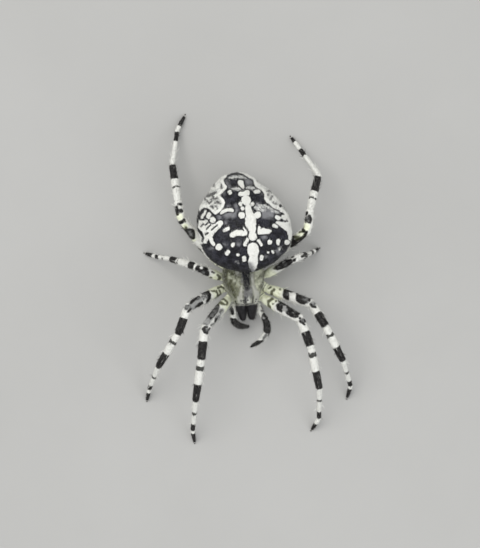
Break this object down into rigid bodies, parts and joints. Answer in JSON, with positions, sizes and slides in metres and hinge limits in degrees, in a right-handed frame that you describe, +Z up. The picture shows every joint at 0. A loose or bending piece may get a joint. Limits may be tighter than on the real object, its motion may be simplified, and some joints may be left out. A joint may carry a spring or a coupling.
{
  "type": "orb weaver spider figure",
  "caption": "Life-size still figure of a garden orb weaver spider standing with its banded legs spread and a white cross of spots on its round abdomen.",
  "frame": {"origin": "middle of the outline seen from above, on the floor under the feet", "axes": "+Y toward the spinnerets and the hind feet, so the head points toward -Y; +X toward the animal's own left side; +Z up out of its back"},
  "size_m": [0.0244, 0.038, 0.0102],
  "materials": {
    "abdomen_skin": "soft, finely hairy skin, dark with white marks",
    "banded_cuticle": "hard hairy cuticle with dark rings, satin",
    "carapace": "hard cuticle under short pale hairs, satin",
    "dark_cuticle": "hard hairy cuticle, satin",
    "eye": "clear dark lens, high gloss",
    "fang": "polished hard cuticle, gloss",
    "jaw": "smooth hard cuticle, semi-gloss",
    "pale_cuticle": "hard hairy cuticle, satin"
  },
  "bodies": {
    "root": {"abdomen": "abdomen_skin", "cephalothorax": "carapace", "chelicera_left": "jaw", "chelicera_right": "jaw", "eye_front_lateral_left": "eye", "eye_front_lateral_right": "eye", "eye_front_median_left": "eye", "eye_front_median_right": "eye", "eye_rear_lateral_left": "eye", "eye_rear_lateral_right": "eye", "eye_rear_median_left": "eye", "eye_rear_median_right": "eye", "fang_left": "fang", "fang_right": "fang", "leg1_left_coxa": "pale_cuticle", "leg1_left_femur": "dark_cuticle", "leg1_left_foot": "banded_cuticle", "leg1_left_patella": "dark_cuticle", "leg1_left_tibia": "banded_cuticle", "leg1_right_coxa": "pale_cuticle", "leg1_right_femur": "dark_cuticle", "leg1_right_foot": "banded_cuticle", "leg1_right_patella": "dark_cuticle", "leg1_right_tibia": "banded_cuticle", "leg2_left_coxa": "pale_cuticle", "leg2_left_femur": "dark_cuticle", "leg2_left_foot": "banded_cuticle", "leg2_left_patella": "dark_cuticle", "leg2_left_tibia": "banded_cuticle", "leg2_right_coxa": "pale_cuticle", "leg2_right_femur": "dark_cuticle", "leg2_right_foot": "banded_cuticle", "leg2_right_patella": "dark_cuticle", "leg2_right_tibia": "banded_cuticle", "leg3_left_coxa": "pale_cuticle", "leg3_left_femur": "dark_cuticle", "leg3_left_foot": "banded_cuticle", "leg3_left_patella": "dark_cuticle", "leg3_left_tibia": "banded_cuticle", "leg3_right_coxa": "pale_cuticle", "leg3_right_femur": "dark_cuticle", "leg3_right_foot": "banded_cuticle", "leg3_right_patella": "dark_cuticle", "leg3_right_tibia": "banded_cuticle", "leg4_left_coxa": "pale_cuticle", "leg4_left_femur": "dark_cuticle", "leg4_left_foot": "banded_cuticle", "leg4_left_patella": "dark_cuticle", "leg4_left_tibia": "banded_cuticle", "leg4_right_coxa": "pale_cuticle", "leg4_right_femur": "dark_cuticle", "leg4_right_foot": "banded_cuticle", "leg4_right_patella": "dark_cuticle", "leg4_right_tibia": "banded_cuticle", "palp_left": "pale_cuticle", "palp_right": "pale_cuticle", "spinnerets": "dark_cuticle"}
  },
  "joints": []
}
